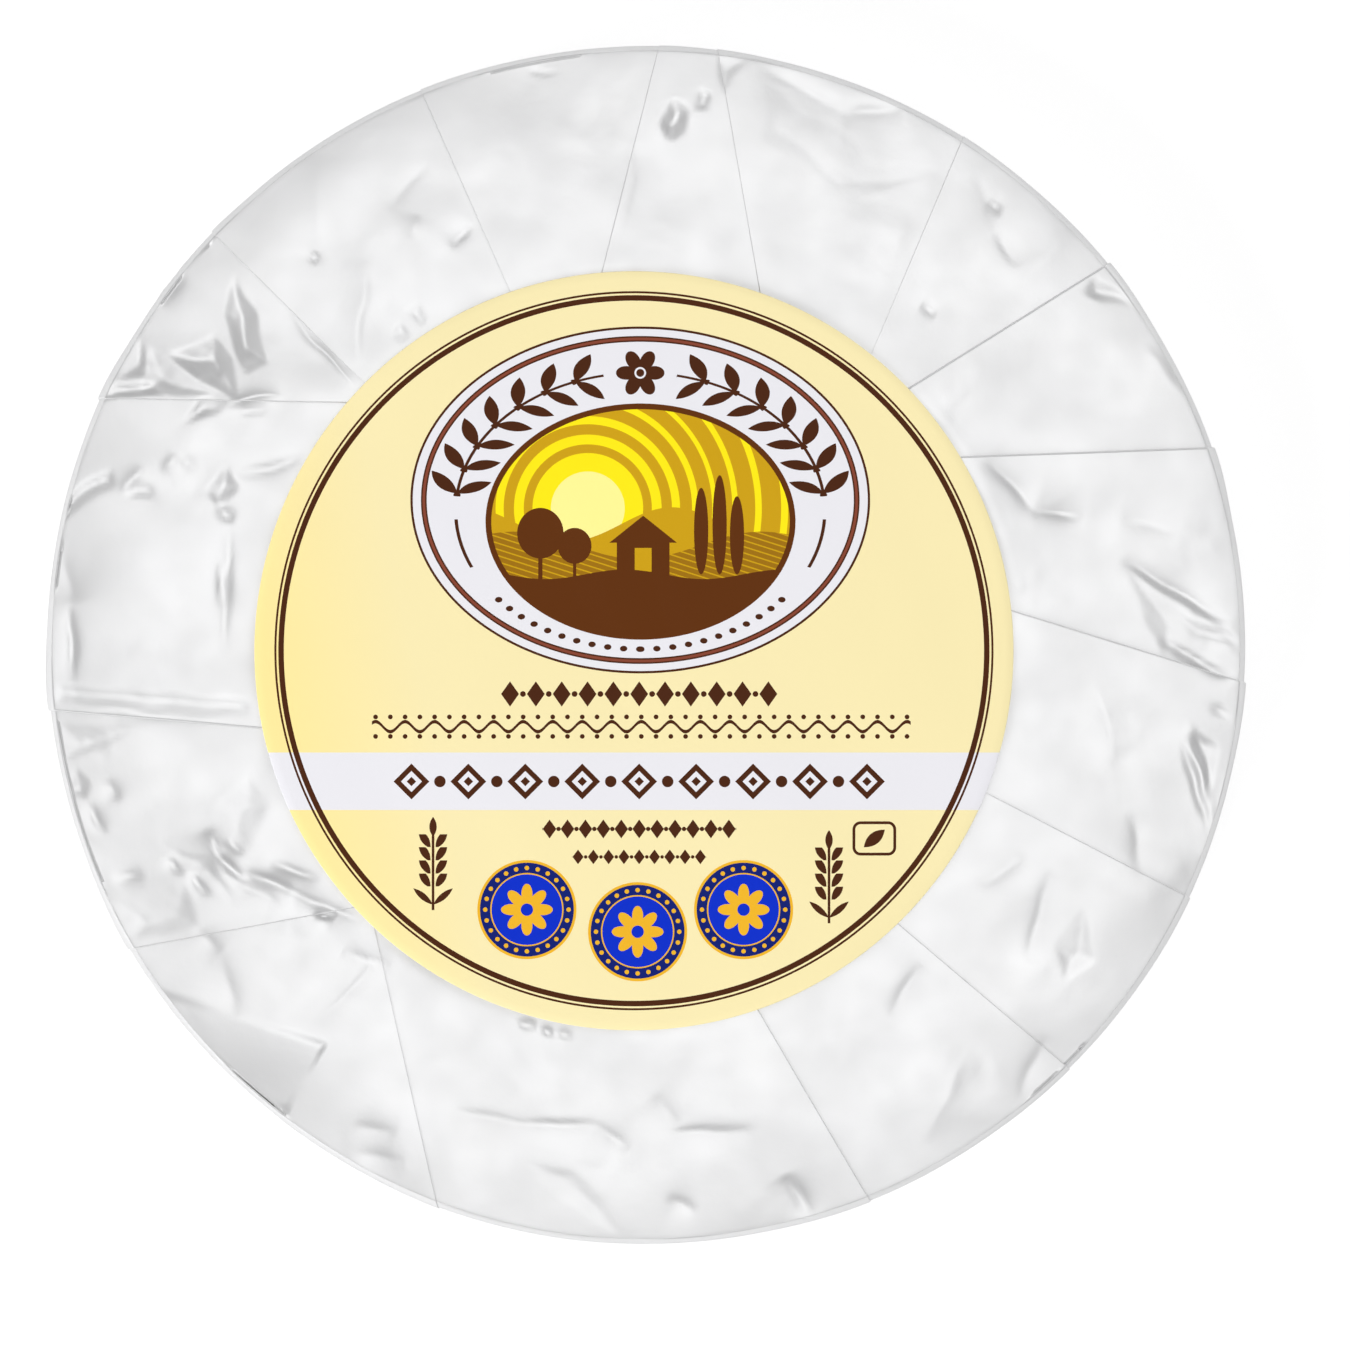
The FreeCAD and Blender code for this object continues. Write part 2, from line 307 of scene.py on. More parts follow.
# Spacing of the rows over the open top, and of the columns at a panel's wider end.
TOP_STEP = 0.62
COLUMN_STEP = 0.86
# Rows over each other stretch of the section, its two end rows included.
UNDER_ROWS = 8
FOOT_ROWS = 7
SIDE_ROWS = 12
SHOULDER_ROWS = 5
FINE_UNDER_LABEL = 5.0  # the close rows run this far in under the label

# Swell of the whole sheet: (height, distance between crests, seed).
SWELLS = ((0.26, 60, 11), (0.08, 24, 12))
# Crumples: (height, breadth, seed, size of the patches that they gather in, how rare
# those are).
CRUMPLES = ((0.10, 9, 21, 30, 0.2), (0.05, 5, 23, 22, 0.4))
PATCH_FULL = 1.4
# In the crumpled patches: the lean at which they are fully crumpled, and the height and
# breadth of the fine crumples.
FULL_LEAN = 12
FINE_HEIGHT = 0.10
FINE_BREADTH = 2.6
# Creases and patches wander by about this much, over this distance.
WANDER = 0.35
WANDER_LENGTH = 11
SIDE_CRUMPLE = 0.27
# The pleats start this high up the side, and are full this far below the top.
PLEAT_START = 4
PLEAT_FULL = 8
# The folded edge in section: how far each point stands out over the next panel and its
# share of the fold's rise. The last one lies under the edge.
HEM = ((0.0, 1.0), (0.24, 0.86), (0.36, 0.55), (0.27, 0.22), (-0.18, 0.0))
FULL_HEM_RISE = 0.5  # a fold that rises less stands out much less
BESIDE_HEM = 0.12  # a column this close on each side keeps the paper flat up to the hem


def section_rows():
    """Half section from the under side's centre, over the rim, to the top's centre.

    Each row is (radius, height, normal out, normal up, distance laid out flat).
    """
    crease_out = CREASE_ROUND * math.cos(CREASE_LEAN)
    crease_down = CREASE_ROUND * (1 - math.sin(CREASE_LEAN))
    shoulder_out = crease_out + SLOPE_ROUND * (math.cos(SIDE_LEAN) - math.cos(CREASE_LEAN))
    shoulder_down = crease_down + SLOPE_ROUND * (math.sin(CREASE_LEAN) - math.sin(SIDE_LEAN))
    foot_centre = WHEEL_RADIUS - FOOT_ROUND
    foot_end = (foot_centre + FOOT_ROUND * math.cos(SIDE_LEAN),
                FOOT_ROUND * (1 + math.sin(SIDE_LEAN)))
    edge = WHEEL_TOP - SAG
    side_rise = edge - shoulder_down - foot_end[1]
    top_reach = foot_end[0] - side_rise * math.tan(SIDE_LEAN) - shoulder_out

    rows = [(radius, 0, 0, -1) for radius in np.linspace(0, foot_centre, UNDER_ROWS)[:-1]]
    for angle in np.linspace(-math.pi / 2, SIDE_LEAN, FOOT_ROWS):
        rows.append((foot_centre + FOOT_ROUND * math.cos(angle),
                     FOOT_ROUND * (1 + math.sin(angle)), math.cos(angle), math.sin(angle)))
    for share in np.linspace(0, 1, SIDE_ROWS)[1:-1]:
        rise = share * side_rise
        rows.append((foot_end[0] - rise * math.tan(SIDE_LEAN), foot_end[1] + rise,
                     math.cos(SIDE_LEAN), math.sin(SIDE_LEAN)))
    for angle in np.linspace(SIDE_LEAN, CREASE_LEAN, SHOULDER_ROWS)[:-1]:
        rows.append((top_reach + crease_out
                     + SLOPE_ROUND * (math.cos(angle) - math.cos(CREASE_LEAN)),
                     edge - crease_down
                     - SLOPE_ROUND * (math.sin(CREASE_LEAN) - math.sin(angle)),
                     math.cos(angle), math.sin(angle)))
    for angle in np.linspace(CREASE_LEAN, math.pi / 2, SHOULDER_ROWS):
        rows.append((top_reach + CREASE_ROUND * math.cos(angle),
                     edge - CREASE_ROUND * (1 - math.sin(angle)),
                     math.cos(angle), math.sin(angle)))
    edge_row = len(rows) - 1
    inner = LABEL_RADIUS - FINE_UNDER_LABEL
    for radius in np.linspace(top_reach, inner, round((top_reach - inner) / TOP_STEP))[1:]:
        fall = max(radius - SAG_START, 0) / (top_reach - SAG_START)
        rows.append((radius, WHEEL_TOP - SAG * fall ** 2, 0, 1))
    rows += [(radius, WHEEL_TOP, 0, 1) for radius in (inner - FINE_UNDER_LABEL, 0)]

    rows = np.array(rows)
    flat = rows[:, 0].copy()
    steps = np.hypot(*np.diff(rows[:edge_row + 1, :2], axis=0).T)
    flat[:edge_row] = top_reach + np.cumsum(steps[::-1])[::-1]
    return np.column_stack([rows, flat])


def fold_angles(radii):
    """Angle of every folded edge at each radius, in order round the wheel."""
    angles = np.empty((len(radii), len(FOLDS)))
    for index, (rim, inner, _, _) in enumerate(FOLDS):
        start = WHEEL_RADIUS * np.array([math.cos(math.radians(rim)), math.sin(math.radians(rim))])
        end = np.array(LABEL_CENTRE) + LABEL_RADIUS * np.array(
            [math.cos(math.radians(inner)), math.sin(math.radians(inner))])
        run = end - start
        reach = np.clip(radii, np.hypot(*end) - FOLD_UNDER_LABEL, WHEEL_RADIUS)
        a = run @ run
        b = start @ run
        c = start @ start - reach ** 2
        share = (-b - np.sqrt(np.maximum(b * b - a * c, 0))) / a
        x = start[0] + share * run[0]
        y = start[1] + share * run[1]
        middle = math.radians(rim)
        angles[:, index] = middle + (np.arctan2(y, x) - middle + math.pi) % (2 * math.pi) - math.pi
    return angles


def wrap_columns():
    """For each column round the wheel: its panel, its share across it, and its hem point."""
    at_middle = fold_angles(np.array([(WHEEL_RADIUS + LABEL_RADIUS) / 2]))[0]
    at_rim = fold_angles(np.array([WHEEL_RADIUS]))[0]
    columns = []
    for panel in range(len(FOLDS)):
        widths = [(angles[panel] - angles[panel - 1]) % (2 * math.pi) * radius
                  for angles, radius in ((at_middle, (WHEEL_RADIUS + LABEL_RADIUS) / 2),
                                         (at_rim, WHEEL_RADIUS))]
        count = round(max(widths) / COLUMN_STEP)
        beside = BESIDE_HEM / max(widths)
        shares = [0, beside, *np.linspace(0, 1, count + 1)[1:-1], 1 - beside]
        columns += [(panel, share, -1) for share in shares]
        columns += [(panel, 1, hem) for hem in range(len(HEM) - 1)]
    return columns


def polar_grid(columns, rows):
    """A flat grid to bend round the axis, with each vertex's column and row number."""
    mesh = bmesh.new()
    bmesh.ops.create_grid(mesh, x_segments=columns, y_segments=rows - 1, size=1)
    place = np.array([vertex.co[:2] for vertex in mesh.verts])
    column = np.round((place[:, 0] + 1) / 2 * columns).astype(int) % columns
    row = np.round((place[:, 1] + 1) / 2 * (rows - 1)).astype(int)
    return mesh, column, row


def close_and_place(mesh, points):
    """Move the grid's vertices to the points, in millimetres, and close its seam and poles."""
    for vertex, point in zip(mesh.verts, points * MM):
        vertex.co = point
    bmesh.ops.remove_doubles(mesh, verts=mesh.verts, dist=1e-7)
    bmesh.ops.recalc_face_normals(mesh, faces=mesh.faces)


def wrap_relief(x, y):
    """Swell and crumples of the paper, in millimetres along its normal."""
    relief = np.zeros_like(x)
    for height, length, seed in SWELLS:
        relief += height * waves(x, y, length, seed)
    for height, breadth, seed, patch, rare in CRUMPLES:
        gathered = smooth(waves(x, y, patch, seed + 1), rare, PATCH_FULL)
        relief += height * facets(x, y, breadth, seed) * gathered
    bent_x = x + WANDER * waves(x, y, WANDER_LENGTH, 25)
    bent_y = y + WANDER * waves(x, y, WANDER_LENGTH, 26)
    for first, last, height, flanks in CREASES:
        relief += crease(bent_x, bent_y, first, last, height, flanks)
    crumpled = np.zeros_like(x)
    for corners, lean in PANES:
        height, inside = pane(bent_x, bent_y, corners, lean)
        relief += height
        crumpled = np.maximum(crumpled, smooth(inside, 0, 2) * min(lean / FULL_LEAN, 1))
    relief += FINE_HEIGHT * crumpled * facets(x, y, FINE_BREADTH, 27)
    return relief + loose_corner(x, y)


def side_relief(along, height):
    """Soft upright creases on the side wall, dying out at its foot and its shoulder."""
    window = smooth(height, 2, 9) * (1 - smooth(height, WHEEL_TOP - 9, WHEEL_TOP - 3))
    upright = facets(along, height * 0.45, 11, 41) + 0.5 * facets(along, height * 0.8, 6, 43)
    return SIDE_CRUMPLE * window * upright


def make_wrap():
    """The paper over the whole wheel, one closed sheet with a folded edge at each pleat."""
    rows = section_rows()
    columns = wrap_columns()
    count = len(columns)
    mesh, column, row = polar_grid(count, len(rows))

    angles = fold_angles(rows[:, 0])
    panel = np.array([item[0] for item in columns])[column]
    share = np.array([item[1] for item in columns])[column]
    hem = np.array([item[2] for item in columns])[column]
    end = angles[row, panel]
    start = angles[row, panel - 1]
    start = end - (end - start) % (2 * math.pi)
    radius, height, out, up, flat = rows[row].T
    reach = np.maximum(radius, 1)
    rises = np.array([fold[2] for fold in FOLDS])
    fold_rise = rises[panel]
    fold_breadth = np.array([fold[3] for fold in FOLDS])[panel]
    hem_size = (rises / FULL_HEM_RISE) ** 2

    # The folds grow up the side to their full size, and are gone well under the label.
    grown = smooth(height, PLEAT_START, WHEEL_TOP - PLEAT_FULL)
    grown = np.where(radius < LABEL_RADIUS - 2 * FINE_UNDER_LABEL, 0, grown)
    hem_out = np.where(hem >= 0, np.array([point[0] for point in HEM])[hem], 0)
    hem_out *= grown * hem_size[panel]
    hem_share = np.where(hem >= 0, np.array([point[1] for point in HEM])[hem], 0)
    tuck = HEM[-1][0] * grown * hem_size[panel - 1] * (1 - share) * (hem < 0)
    angle = np.where(hem >= 0, end + hem_out / reach, start + share * (end - start) + tuck / reach)
    # The doubled paper thins away from the folded edge.
    to_edge = (end - angle) * reach
    doubled = 1 - smooth(to_edge, fold_breadth * 0.2, fold_breadth * 2.6)
    rise = fold_rise * grown * np.where(hem >= 0, hem_share, doubled)

    # The relief is worked out on the sheet laid flat. It dies out under the label, down
    # the side and on the under side.
    plan_x, plan_y = flat * np.cos(angle), flat * np.sin(angle)
    under = (height < FOOT_ROUND) & (radius < WHEEL_RADIUS - FOOT_ROUND - 0.01)
    from_label = np.hypot(radius * np.cos(angle) - LABEL_CENTRE[0],
                          radius * np.sin(angle) - LABEL_CENTRE[1]) - LABEL_RADIUS
    relief = wrap_relief(plan_x, plan_y)
    relief *= smooth(from_label, -3, 2) * smooth(height, 2, 12) * (1 - 0.75 * smooth(out, 0.4, 1))
    relief += side_relief(angle * WHEEL_RADIUS, height) * smooth(out, 0.7, 1)
    relief = np.where(under, 0, relief)
    lift = rise + relief
    radius = radius + out * lift
    height = height + up * lift
    close_and_place(mesh, np.stack([radius * np.cos(angle), radius * np.sin(angle), height], 1))
    return finish_mesh(mesh, "foil_paper_wrap")


def finish_mesh(mesh, name):
    """Shade the mesh smooth and put it in the scene as an object."""
    for face in mesh.faces:
        face.smooth = True
    data = bpy.data.meshes.new(name)
    mesh.to_mesh(data)
    mesh.free()
    thing = bpy.data.objects.new(name, data)
    bpy.context.scene.collection.objects.link(thing)
    return thing


# ---------------------------------------------------------------- the label

LABEL_LIFT = 0.06  # clear of the pleats' highest edges
LABEL_THICKNESS = label_high.z - label_low.z
LABEL_EDGE_ROUND = 0.1
LABEL_ROWS = 48


def label_wave(x, y):
    """How far the label stands off its flat seat: it sags softly between the pleats."""
    return 0.10 + 0.07 * waves(x, y, 40, 31) + 0.02 * waves(x, y, 15, 32)


def make_label():
    """Round paper label: a thin disc spun from its half section, then laid on the pleats."""
    reach = list(np.linspace(0, LABEL_RADIUS - LABEL_EDGE_ROUND, LABEL_ROWS))
    section = [(radius, 0) for radius in reach]
    section += [(LABEL_RADIUS, LABEL_THICKNESS * 0.3), (LABEL_RADIUS, LABEL_THICKNESS * 0.8)]
    section = np.array(section + [(radius, LABEL_THICKNESS) for radius in reach[::-1]])
    mesh, column, row = polar_grid(360, len(section))
    angle = np.radians(column)  # a column to each degree
    x = LABEL_CENTRE[0] + section[row, 0] * np.cos(angle)
    y = LABEL_CENTRE[1] + section[row, 0] * np.sin(angle)
    z = label_low.z + LABEL_LIFT + section[row, 1] + label_wave(x, y)
    close_and_place(mesh, np.stack([x, y, z], 1))
    return finish_mesh(mesh, "round_label")


# ---------------------------------------------------------------- materials


def new_material(name):
    """An empty node material with its Principled shader."""
    material = bpy.data.materials.new(name)
    material.use_nodes = True
    shader = material.node_tree.nodes["Principled BSDF"]
    return material, material.node_tree, shader


def noise(tree, grain, detail):
    """Noise whose blotches are about grain millimetres across."""
    where = tree.nodes.new("ShaderNodeTexCoord")
    texture = tree.nodes.new("ShaderNodeTexNoise")
    texture.inputs["Scale"].default_value = 1 / (grain * MM)
    texture.inputs["Detail"].default_value = detail
    tree.links.new(where.outputs["Object"], texture.inputs["Vector"])
    return texture.outputs["Fac"]


def spread(tree, value, low, high):
    """The noise's usual range of 0.3 to 0.7 laid over low to high."""
    level = tree.nodes.new("ShaderNodeMapRange")
    level.clamp = False
    level.inputs["From Min"].default_value = 0.3
    level.inputs["From Max"].default_value = 0.7
    level.inputs["To Min"].default_value = low
    level.inputs["To Max"].default_value = high
    tree.links.new(value, level.inputs["Value"])
    return level.outputs["Result"]


def add_grain(tree, shader, grain, depth):
    """Raise a fine paper grain, depth millimetres deep, on the surface."""
    bump = tree.nodes.new("ShaderNodeBump")
    bump.inputs["Distance"].default_value = depth * MM
    tree.links.new(noise(tree, grain, 2), bump.inputs["Height"])
    tree.links.new(bump.outputs["Normal"], shader.inputs["Normal"])


def foil_paper():
    """White lacquered paper laminated to foil: satin, with a soft pearly shine."""
    material, tree, shader = new_material("white foil paper")
    tint = tree.nodes.new("ShaderNodeMix")
    tint.data_type = "RGBA"
    tint.inputs["A"].default_value = (0.885, 0.887, 0.895, 1)
    tint.inputs["B"].default_value = (0.92, 0.92, 0.922, 1)
    tree.links.new(noise(tree, 14, 1), tint.inputs["Factor"])
    tree.links.new(tint.outputs["Result"], shader.inputs["Base Color"])
    tree.links.new(spread(tree, noise(tree, 7, 1), 0.30, 0.34), shader.inputs["Roughness"])
    shader.inputs["Metallic"].default_value = 0.65
    add_grain(tree, shader, 1.3, 0.012)
    return material


class Field:
    """A number that varies over a surface, worked out by Math nodes."""

    def __init__(self, tree, socket):
        self.tree = tree
        self.socket = socket

    def math(self, operation, *others):
        node = self.tree.nodes.new("ShaderNodeMath")
        node.operation = operation
        for index, value in enumerate((self, *others)):
            if isinstance(value, Field):
                self.tree.links.new(value.socket, node.inputs[index])
            else:
                node.inputs[index].default_value = value
        return Field(self.tree, node.outputs[0])

    def __add__(self, other):
        return self.math("ADD", other)

    def __sub__(self, other):
        return self.math("SUBTRACT", other)

    def __mul__(self, other):
        return self.math("MULTIPLY", other)

    def __truediv__(self, other):
        return self.math("DIVIDE", other)

    def __lt__(self, other):
        return self.math("LESS_THAN", other)

    def __gt__(self, other):
        return self.math("GREATER_THAN", other)

    def __and__(self, other):
        return self.math("MULTIPLY", other)

    def __or__(self, other):
        return self.math("MAXIMUM", other)

    def __abs__(self):
        return self.math("ABSOLUTE")


def length(x, y):
    """Distance from the origin."""
    return (x * x + y * y).math("SQRT")


def sine(x, wave, shift=0.0):
    """Sine wave along x that repeats every wave millimetres."""
    return (x * (2 * math.pi / wave) + shift).math("SINE")


def between(value, low, high):
    """1 where the value lies between low and high."""
    return (value > low) & (value < high)


def nearest(x, spacing):
    """x from the nearest of a row of centres that lie spacing apart."""
    return x - (x / spacing + 0.5).math("FLOOR") * spacing


def in_oval(x, y, centre, reach):
    """1 inside an upright oval, whose reach is its half width and half height."""
    return length((x - centre[0]) / reach[0], (y - centre[1]) / reach[1]) < 1


def in_lozenge(x, y, reach):
    """1 inside a lozenge round the origin."""
    return (abs(x) / reach[0] + abs(y) / reach[1]) < 1


def in_box(x, y, low, high):
    """1 inside an upright box, from its lower left corner to its upper right."""
    return between(x, low[0], high[0]) & between(y, low[1], high[1])


def in_leaf(x, y, centre, heading, half_length, half_width):
    """A pointed leaf round its centre, along its heading."""
    turn = math.radians(heading)
    off_x, off_y = x - centre[0], y - centre[1]
    along = (off_x * math.cos(turn) + off_y * math.sin(turn)) / half_length
    across = abs(off_y * math.cos(turn) - off_x * math.sin(turn))
    return across < (along * along * -1 + 1) * half_width


def in_rosette(x, y, centre, reach, petals):
    """A plain flower: round petals about a small open middle."""
    off_x, off_y = x - centre[0], y - centre[1]
    distance = length(off_x, off_y)
    turn = off_y.math("ARCTAN2", off_x)
    edge = abs((turn * (petals / 2)).math("COSINE")) * (reach * 0.45) + reach * 0.55
    return (distance < edge) & (distance > reach * 0.24)


def linear(red, green, blue):
    """Screen red, green and blue, 0 to 255, as the shader's own values."""
    def channel(value):
        share = value / 255
        return share / 12.92 if share <= 0.04045 else ((share + 0.055) / 1.055) ** 2.4
    return (channel(red), channel(green), channel(blue), 1)


CREAM = linear(248, 234, 180)
# Painted shade: a warmer, deeper cream laid towards the label's left edge.
SHADED_CREAM = linear(253, 233, 158)
WHITE = linear(234, 233, 238)
BROWN = linear(74, 36, 14)
MID_BROWN = linear(135, 69, 50)
EARTH = linear(96, 48, 8)
YELLOW = linear(253, 234, 20)
OCHRE = linear(205, 160, 18)
DARK_OCHRE = linear(158, 112, 14)
PALE_YELLOW = linear(255, 246, 150)
BLUE = linear(4, 46, 200)
DEEP_BLUE = linear(12, 30, 112)
GOLD = linear(240, 182, 40)

# Places on the label, in millimetres from its centre.
MEDALLION = (1.2, 28.6)
PICTURE = (1.25, 24.5)
GARLAND_HEIGHT = 26.5
GARLAND_REACH = (35, 26.2)
BAND = (-30.2, -19.3)
SEALS = ((-20.3, -49.1), (0.7, -53.3), (20.8, -49.1))
EARS = ((-38.1, -41), (37, -43.5))
LEAF_MARK = (45.6, -35.6)
ROWS_CENTRE = 1


def rings(x, y):
    """A thin line and a thick one, close inside the label's edge."""
    distance = length(x, y)
    yield between(distance, 67.8, 68.2), BROWN
    yield between(distance, 66.4, 67.45), BROWN


def medallion(x, y):
    """Oval plate with a thin line, a two-tone border and a framed picture."""
    for reach, colour in (((43.6, 32.9), BROWN), ((43.15, 32.45), WHITE), ((41.6, 31.1), BROWN),
                          ((41.3, 30.8), MID_BROWN), ((40.8, 30.3), BROWN), ((40.5, 30), WHITE)):
        yield in_oval(x, y, MEDALLION, reach), colour
    yield in_oval(x, y, PICTURE, (29.4, 22.4)), EARTH


def picture(x, y):
    """Hills under a low sun, with trees and a barn, inside the oval frame."""
    x, y = x - PICTURE[0], y - PICTURE[1]
    inside = in_oval(x, y, (0, 0), (28.3, 21.3))
    yield inside, YELLOW
    sun = length(x + 10, y - 2.5)
    for distance in (38, 33, 28.5, 24.5, 21, 17.5, 14, 10.5):
        yield inside & between(sun, distance, distance * 1.09 + 0.7), OCHRE
    yield inside & (sun < 7), PALE_YELLOW
    yield inside & (y < sine(x, 39, 0.6) * 3.2 - 0.5), OCHRE
    middle_hill = inside & (y < sine(x, 47, -1.5) * 2.6 - 4.5)
    yield middle_hill, DARK_OCHRE
    yield middle_hill & (sine(y * 2.2 + x * 0.7, 2.6) > 0.75), OCHRE
    trees = in_oval(x, y, (-19, -2.2), (4.4, 4.8)) | in_oval(x, y, (-12.5, -4.6), (3.2, 3.4))
    trees = trees | in_box(x, y, (-19.4, -12), (-18.6, -4)) | in_box(x, y, (-12.8, -12), (-12.2, -6))
    for place, tall in ((11.5, 8.2), (15, 9.4), (18.3, 7.4)):
        trees = trees | in_oval(x, y, (place, tall - 10), (1.35, tall))
    barn = in_box(x, y, (-4.5, -12), (5.5, -4)) | ((abs(x - 0.5) + (y + 4) * 1.25 < 6.4) & (y > -4.01))
    yield inside & (trees | barn), EARTH
    yield inside & in_box(x, y, (-1.1, -9.5), (2.1, -5)), OCHRE
    yield inside & (y < sine(x, 30, 2.2) * 0.9 - 10), EARTH


def garland(x, y):
    """Leafy spray over the picture, with a flower on top and a row of berries below."""
    x = x - MEDALLION[0]
    y = y - GARLAND_HEIGHT
    turn = (y / GARLAND_REACH[1]).math("ARCTAN2", abs(x) / GARLAND_REACH[0])
    ring = length(x / GARLAND_REACH[0], y / GARLAND_REACH[1])
    off = abs(ring - 1) * 30
    pace = nearest((turn * -1 + math.pi / 2) * 31 - 3.4, 5.6)
    upper = between(turn, 0.106, 1.371)
    leaves = in_leaf(pace, off, (0.2, 2.5), 128, 3.2, 1.15) | in_oval(pace, off, (2.5, 0), (0.6, 0.6))
    yield upper & (leaves | (off < 0.26)), BROWN
    yield in_rosette(x, y, (0, GARLAND_REACH[1]), 4.6, 6), BROWN
    yield in_oval(x, y, (0, GARLAND_REACH[1]), (0.75, 0.75)), BROWN
    yield between(turn, -0.42, -0.06) & (off < 0.28), BROWN
    berries = length(nearest(turn * 31, 2.7), off) < 0.62
    yield between(turn, -1.6, -0.65) & berries, BROWN


def lozenge_row(x, y, height, count, spacing, size):
    """A row of lozenges, count of them each side of the middle one, with dots between."""
    y = y - height
    step = nearest(x - ROWS_CENTRE, spacing)
    gap = nearest(x - ROWS_CENTRE - spacing / 2, spacing)
    marks = in_lozenge(step, y, size) | (length(gap, y) < size[0] * 0.32)
    return (abs(x - ROWS_CENTRE) < count * spacing + size[0] + 0.1) & marks


def ornament_rows(x, y):
    """Rows of small ornament above, on and below the white band."""
    yield lozenge_row(x, y, -8.2, 5, 4.9, (1.7, 2.4)), BROWN
    vine = abs(sine(x, 5.6) * 0.95 - y - 14.4)
    dots = length(nearest(x - 1.4, 2.8), abs(y + 14.4) - 1.85) < 0.45
    yield (abs(x - 1.4) < 51.1) & ((vine < 0.34) | dots), BROWN
    yield lozenge_row(x, y, -24.8, 4, 10.8, (3.4, 3.4)), BROWN
    inner = abs(nearest(x - ROWS_CENTRE, 10.8)) + abs(y + 24.8)
    yield (abs(x - ROWS_CENTRE) < 47) & between(inner, 0.9, 2.0), WHITE
    yield lozenge_row(x, y, -33.8, 5, 3.4, (1.3, 1.8)), BROWN
    yield lozenge_row(x, y, -39.1, 4, 2.9, (1.05, 1.4)), BROWN


def seal(x, y, centre):
    """Round seal: gold rim, beaded blue ring and a plain gold flower."""
    x, y = x - centre[0], y - centre[1]
    distance = length(x, y)
    turn = y.math("ARCTAN2", x)
    yield distance < 9.4, GOLD
    yield distance < 8.9, DEEP_BLUE
    yield length(nearest(turn * 7.9, 2 * math.pi * 7.9 / 24), distance - 7.9) < 0.42, GOLD
    yield between(distance, 6.7, 6.95), GOLD
    yield distance < 6.7, BLUE
    yield in_rosette(x, y, (0, 0), 4.9, 8), GOLD


def grain_ear(x, y, centre):
    """An upright ear of grain with a short stalk."""
    x, y = x - centre[0], y - centre[1]
    step = nearest(y, 2.5)
    grains = between(y, -3.7, 6.2) & in_leaf(abs(x), step, (1.6, 0.3), 58, 2.1, 0.75)
    tip = in_leaf(x, y, (0, 7.6), 90, 1.9, 0.7)
    stalk = (abs(x) < 0.25) & between(y, -8.2, 6)
    blades = in_leaf(abs(x), y, (1.9, -5.6), 40, 2.4, 0.6)
    return grains | tip | stalk | blades


def corner_mark(x, y):
    """A small rounded frame round a leaf."""
    x, y = x - LEAF_MARK[0], y - LEAF_MARK[1]
    outer = length((abs(x) - 2.6).math("MAXIMUM", 0), (abs(y) - 1.7).math("MAXIMUM", 0))
    return between(outer, 1.0, 1.55) | in_leaf(x, y, (0, 0), 40, 2.6, 1.1)


def paint(tree, below, mask, colour):
    """Lay a flat ink over the colour below, where the mask is 1."""
    mix = tree.nodes.new("ShaderNodeMix")
    mix.data_type = "RGBA"
    tree.links.new(mask.socket, mix.inputs["Factor"])
    tree.links.new(below, mix.inputs["A"])
    mix.inputs["B"].default_value = colour
    return mix.outputs["Result"]


def label_paper():
    """Cream paper printed with a landscape medallion, ornament and seals."""
    material, tree, shader = new_material("printed cream label")
    where = tree.nodes.new("ShaderNodeTexCoord")
    parts = tree.nodes.new("ShaderNodeSeparateXYZ")
    tree.links.new(where.outputs["Object"], parts.inputs[0])
    x = Field(tree, parts.outputs["X"]) * (1 / MM) - LABEL_CENTRE[0]
    y = Field(tree, parts.outputs["Y"]) * (1 / MM) - LABEL_CENTRE[1]

    # Painted shade: the cream goes warmer and deeper towards the label's left edge.
    ground_and_shade = tree.nodes.new("ShaderNodeMix")
    ground_and_shade.data_type = "RGBA"
    ground_and_shade.inputs["A"].default_value = SHADED_CREAM
    ground_and_shade.inputs["B"].default_value = CREAM
    share = ((x + 70) / 28 + y / 120).math("MINIMUM", 1).math("MAXIMUM", 0)
    tree.links.new(share.socket, ground_and_shade.inputs["Factor"])
    colour = ground_and_shade.outputs["Result"]

    layers = [(between(y, *BAND), WHITE), *rings(x, y), *medallion(x, y), *picture(x, y),
              *garland(x, y), *ornament_rows(x, y)]
    for centre in SEALS:
        layers += seal(x, y, centre)
    layers += [(grain_ear(x, y, centre), BROWN) for centre in EARS]
    layers.append((corner_mark(x, y), BROWN))
    for mask, ink in layers:
        colour = paint(tree, colour, mask, ink)
    tree.links.new(colour, shader.inputs["Base Color"])
    shader.inputs["Roughness"].default_value = 0.5
    shader.inputs["Specular IOR Level"].default_value = 0.15
    add_grain(tree, shader, 1.2, 0.02)
    return material


# ---------------------------------------------------------------- stage

# The floor, in metres. It lies a hair below the under side, so that the two faces are apart.
FLOOR_HALF_SIZE = 3
FLOOR_GAP = 0.0002
FLOOR_GREY = 0.5
# How brightly the floor glows to the camera and in the paper's shine.
FLOOR_SEEN = 0.64
FLOOR_MIRRORED = 0.25

# The surroundings' brightness: straight overhead, in the ring about it, and low all round.
OVERHEAD = 1.6
DIM_RING = 0.18
WALLS = 0.72

# Angles from straight up, in radians, over which one gives way to the next.
OVERHEAD_EDGE = (0.04, 0.46)
WALLS_EDGE = (0.75, 1.25)

LENS = 150
SENSOR_WIDTH = 36
FRAME_SHARE = 1.1278  # the frame's width in wheel widths
CAMERA_OFFSET = (5.5, -5.7)  # from the wheel's axis, in millimetres


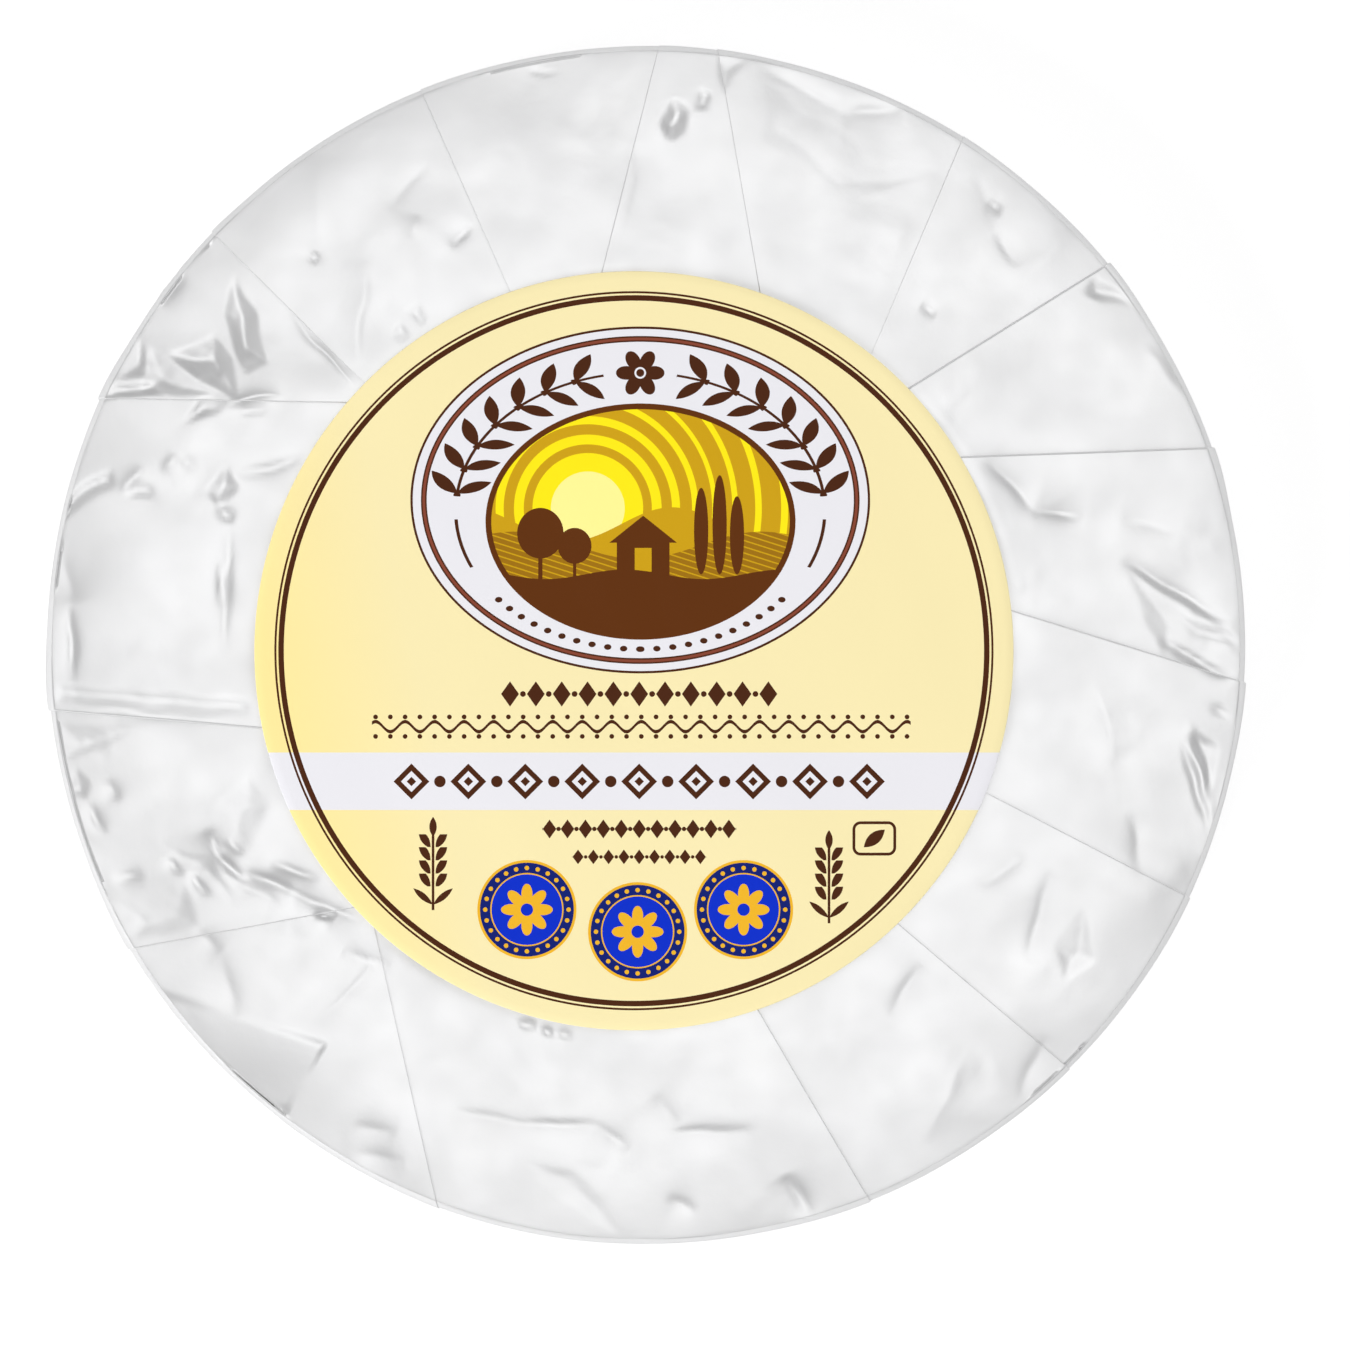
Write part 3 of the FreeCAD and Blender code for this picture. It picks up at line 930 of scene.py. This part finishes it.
def add_floor():
    """Wide floor that shows white and keeps the wheel's shadow."""
    mesh = bmesh.new()
    bmesh.ops.create_grid(mesh, x_segments=1, y_segments=1, size=FLOOR_HALF_SIZE)
    bmesh.ops.translate(mesh, verts=mesh.verts, vec=(0, 0, -FLOOR_GAP))
    floor = finish_mesh(mesh, "floor")
    material, tree, shader = new_material("white floor")
    shader.inputs["Base Color"].default_value = (FLOOR_GREY, FLOOR_GREY, FLOOR_GREY, 1)
    shader.inputs["Roughness"].default_value = 0.9
    rays = tree.nodes.new("ShaderNodeLightPath")
    mirrored = Field(tree, rays.outputs["Is Glossy Ray"]) * FLOOR_MIRRORED
    glow = Field(tree, rays.outputs["Is Camera Ray"]) * FLOOR_SEEN + mirrored
    tree.links.new(glow.socket, shader.inputs["Emission Strength"])
    shader.inputs["Emission Color"].default_value = (1, 1, 1, 1)
    floor.data.materials.append(material)


def add_lamp(name, at, size, power):
    """Round soft lamp that faces the wheel and isn't seen itself."""
    data = bpy.data.lights.new(name, "AREA")
    data.shape = "DISK"
    data.size = size
    data.energy = power
    lamp = bpy.data.objects.new(name, data)
    lamp.location = at
    lamp.rotation_mode = "QUATERNION"
    lamp.rotation_quaternion = Vector(at).to_track_quat("Z", "Y")
    lamp.visible_camera = False
    lamp.visible_glossy = False
    bpy.context.scene.collection.objects.link(lamp)


def eased(tree, value, low, high, low_level, high_level):
    """low_level up to low, high_level past high, eased between."""
    level = tree.nodes.new("ShaderNodeMapRange")
    level.interpolation_type = "SMOOTHSTEP"
    level.inputs["From Min"].default_value = low
    level.inputs["From Max"].default_value = high
    level.inputs["To Min"].default_value = low_level
    level.inputs["To Max"].default_value = high_level
    tree.links.new(value.socket, level.inputs["Value"])
    return Field(tree, level.outputs["Result"])


def add_world():
    """White walls and a pale patch overhead, with a dim ring between; the camera sees white."""
    world = bpy.data.worlds.new("studio")
    world.use_nodes = True
    bpy.context.scene.world = world
    tree = world.node_tree
    way = tree.nodes.new("ShaderNodeTexCoord")
    parts = tree.nodes.new("ShaderNodeSeparateXYZ")
    tree.links.new(way.outputs["Generated"], parts.inputs[0])
    off_top = Field(tree, parts.outputs["Z"]).math("ARCCOSINE")
    overhead = eased(tree, off_top, *OVERHEAD_EDGE, OVERHEAD, DIM_RING)
    walls = eased(tree, off_top, *WALLS_EDGE, 0, WALLS - DIM_RING)
    rays = tree.nodes.new("ShaderNodeLightPath")
    seen = Field(tree, rays.outputs["Is Camera Ray"])
    background = tree.nodes["Background"]
    background.inputs["Color"].default_value = (1, 1, 1, 1)
    tree.links.new((overhead + walls).math("MAXIMUM", seen).socket, background.inputs["Strength"])


def add_camera():
    """Straight above, a little right of and below the wheel's axis."""
    data = bpy.data.cameras.new("camera")
    data.lens = LENS
    data.sensor_width = SENSOR_WIDTH
    camera = bpy.data.objects.new("camera", data)
    frame_width = 2 * WHEEL_RADIUS * FRAME_SHARE
    distance = frame_width / 2 / (data.sensor_width / 2 / data.lens)
    camera.location = (CAMERA_OFFSET[0] * MM, CAMERA_OFFSET[1] * MM,
                       (distance + WHEEL_TOP / 2) * MM)
    bpy.context.scene.collection.objects.link(camera)
    bpy.context.scene.camera = camera
    bpy.context.scene.view_settings.view_transform = "Standard"


wrap = make_wrap()
wrap.data.materials.append(foil_paper())
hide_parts("wrapped_wheel")
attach(wrap, "root")

label = make_label()
label.data.materials.append(label_paper())
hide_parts("label")
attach(label, "root")

add_floor()
add_lamp("key", (-1.25, -1.1, 0.75), 1.6, 36)
add_lamp("fill", (1.2, 1.1, 1.1), 1.8, 19)
add_world()
add_camera()
